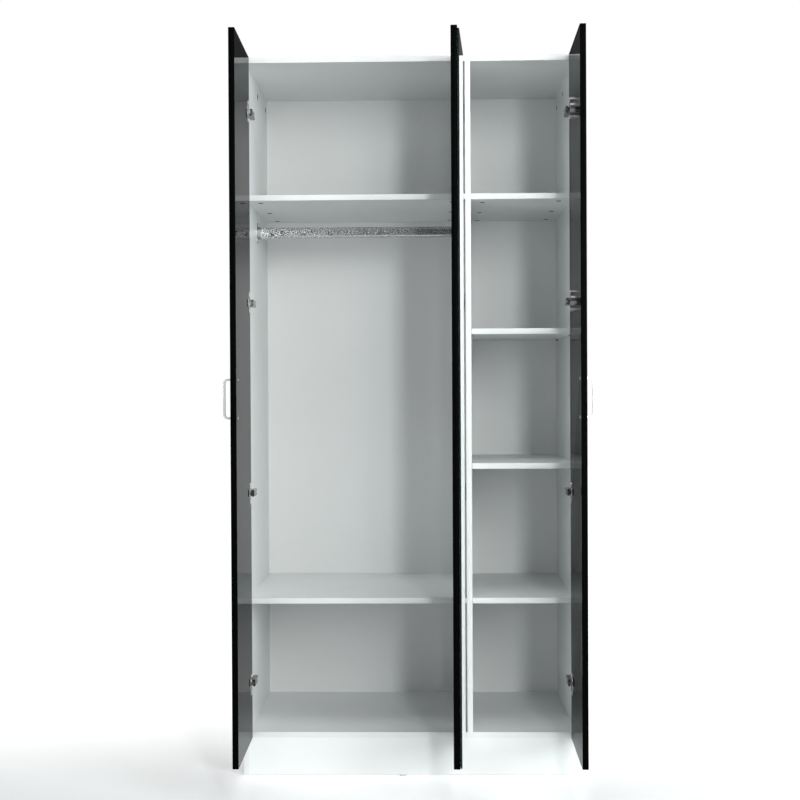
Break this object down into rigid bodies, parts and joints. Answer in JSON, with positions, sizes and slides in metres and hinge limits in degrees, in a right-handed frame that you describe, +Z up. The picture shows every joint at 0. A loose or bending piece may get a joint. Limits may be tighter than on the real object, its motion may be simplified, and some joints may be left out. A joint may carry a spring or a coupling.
{
  "type": "wardrobe with doors",
  "caption": "Tall white wardrobe with black gloss doors on concealed hinges, a hanging bay with an oval rail and a bay of shelves, a mirror on the middle door.",
  "frame": {"origin": "middle of the whole wardrobe's box with its doors open, at floor level", "axes": "+X to the right seen from the front, +Y to the back, +Z up"},
  "size_m": [0.9222, 0.7886, 1.94],
  "materials": {
    "white_board": "white melamine-faced board with fine texture",
    "back_board": "white-faced hardboard",
    "black_gloss": "black high-gloss faced board",
    "chrome": "polished chrome",
    "hinge_steel": "nickel-plated stamped steel",
    "screw_steel": "zinc-plated",
    "cam_zinc": "die-cast zinc, dull",
    "dowel_wood": "plain beech",
    "glide_plastic": "moulded plastic",
    "mirror_glass": "silvered float glass",
    "foam_tape": "white foam tape"
  },
  "bodies": {
    "carcass": {"left_side": "white_board", "right_side": "white_board", "top_panel": "white_board", "bottom_panel": "white_board", "partition": "white_board", "left_top_shelf": "white_board", "left_lower_shelf": "white_board", "right_top_shelf": "white_board", "right_third_shelf": "white_board", "right_second_shelf": "white_board", "right_lower_shelf": "white_board", "back_panel_left": "back_board", "back_panel_right": "back_board", "plinth_front": "white_board", "plinth_back": "white_board", "plinth_brace": "white_board", "glides": "glide_plastic", "hanging_rail": "chrome", "rail_socket_left": "chrome", "rail_socket_right": "chrome", "rail_socket_screws": "screw_steel", "cams": "cam_zinc", "cam_bolts": "screw_steel", "dowels": "dowel_wood", "shelf_pins": "screw_steel", "back_nails": "screw_steel", "left_hinge_arms": "hinge_steel", "left_hinge_plates": "hinge_steel", "left_hinge_plate_screws": "screw_steel", "middle_hinge_arms": "hinge_steel", "middle_hinge_plates": "hinge_steel", "middle_hinge_plate_screws": "screw_steel", "right_hinge_arms": "hinge_steel", "right_hinge_plates": "hinge_steel", "right_hinge_plate_screws": "screw_steel"},
    "left_outer_links": {"left_hinge_outer_links": "hinge_steel", "left_hinge_pins": "screw_steel"},
    "left_door": {"left_door": "black_gloss", "left_hinge_cups": "hinge_steel", "left_hinge_cup_screws": "screw_steel", "left_handle": "chrome", "left_handle_screws": "screw_steel"},
    "left_inner_links": {"left_hinge_inner_links": "hinge_steel"},
    "middle_outer_links": {"middle_hinge_outer_links": "hinge_steel", "middle_hinge_pins": "screw_steel"},
    "middle_door": {"middle_door": "black_gloss", "middle_hinge_cups": "hinge_steel", "middle_hinge_cup_screws": "screw_steel", "mirror": "mirror_glass", "mirror_tape": "foam_tape"},
    "middle_inner_links": {"middle_hinge_inner_links": "hinge_steel"},
    "right_outer_links": {"right_hinge_outer_links": "hinge_steel", "right_hinge_pins": "screw_steel"},
    "right_door": {"right_door": "black_gloss", "right_hinge_cups": "hinge_steel", "right_hinge_cup_screws": "screw_steel", "right_handle": "chrome", "right_handle_screws": "screw_steel"},
    "right_inner_links": {"right_hinge_inner_links": "hinge_steel"}
  },
  "joints": [
    {"name": "left_link_turn", "type": "hinge", "parent": "carcass", "child": "left_outer_links", "pos_m": [-0.42851, -0.08246, 1.0225], "axis": [0, 0, 1], "range_deg": [-42.63, 2.88]},
    {"name": "left_door_swing", "type": "hinge", "parent": "left_outer_links", "child": "left_door", "pos_m": [-0.43167, -0.10265, 1.0225], "axis": [0, 0, -1], "range_deg": [-131.62, 8.87]},
    {"name": "left_inner_link_turn", "type": "hinge", "parent": "carcass", "child": "left_inner_links", "pos_m": [-0.42401, -0.09766, 1.0225], "axis": [0, 0, 1], "range_deg": [-32.11, 2.17]},
    {"name": "middle_link_turn", "type": "hinge", "parent": "carcass", "child": "middle_outer_links", "pos_m": [0.12501, -0.08246, 1.0225], "axis": [0, 0, -1], "range_deg": [-41.34, 4.18]},
    {"name": "middle_door_swing", "type": "hinge", "parent": "middle_outer_links", "child": "middle_door", "pos_m": [0.12862, -0.10257, 1.0225], "axis": [0, 0, 1], "range_deg": [-127.63, 12.87]},
    {"name": "middle_inner_link_turn", "type": "hinge", "parent": "carcass", "child": "middle_inner_links", "pos_m": [0.12051, -0.09766, 1.0225], "axis": [0, 0, -1], "range_deg": [-31.13, 3.15]},
    {"name": "right_link_turn", "type": "hinge", "parent": "carcass", "child": "right_outer_links", "pos_m": [0.42851, -0.08246, 1.0225], "axis": [0, 0, -1], "range_deg": [-42.63, 2.88]},
    {"name": "right_door_swing", "type": "hinge", "parent": "right_outer_links", "child": "right_door", "pos_m": [0.43167, -0.10265, 1.0225], "axis": [0, 0, 1], "range_deg": [-131.62, 8.87]},
    {"name": "right_inner_link_turn", "type": "hinge", "parent": "carcass", "child": "right_inner_links", "pos_m": [0.42401, -0.09766, 1.0225], "axis": [0, 0, -1], "range_deg": [-32.11, 2.17]}
  ],
  "couplings": [
    {"joint": "left_link_turn", "follows": "left_door_swing", "ratio": 0.32384},
    {"joint": "left_inner_link_turn", "follows": "left_door_swing", "ratio": 0.24385},
    {"joint": "middle_link_turn", "follows": "middle_door_swing", "ratio": 0.32384},
    {"joint": "middle_inner_link_turn", "follows": "middle_door_swing", "ratio": 0.24385},
    {"joint": "right_link_turn", "follows": "right_door_swing", "ratio": 0.32384},
    {"joint": "right_inner_link_turn", "follows": "right_door_swing", "ratio": 0.24385}
  ]
}
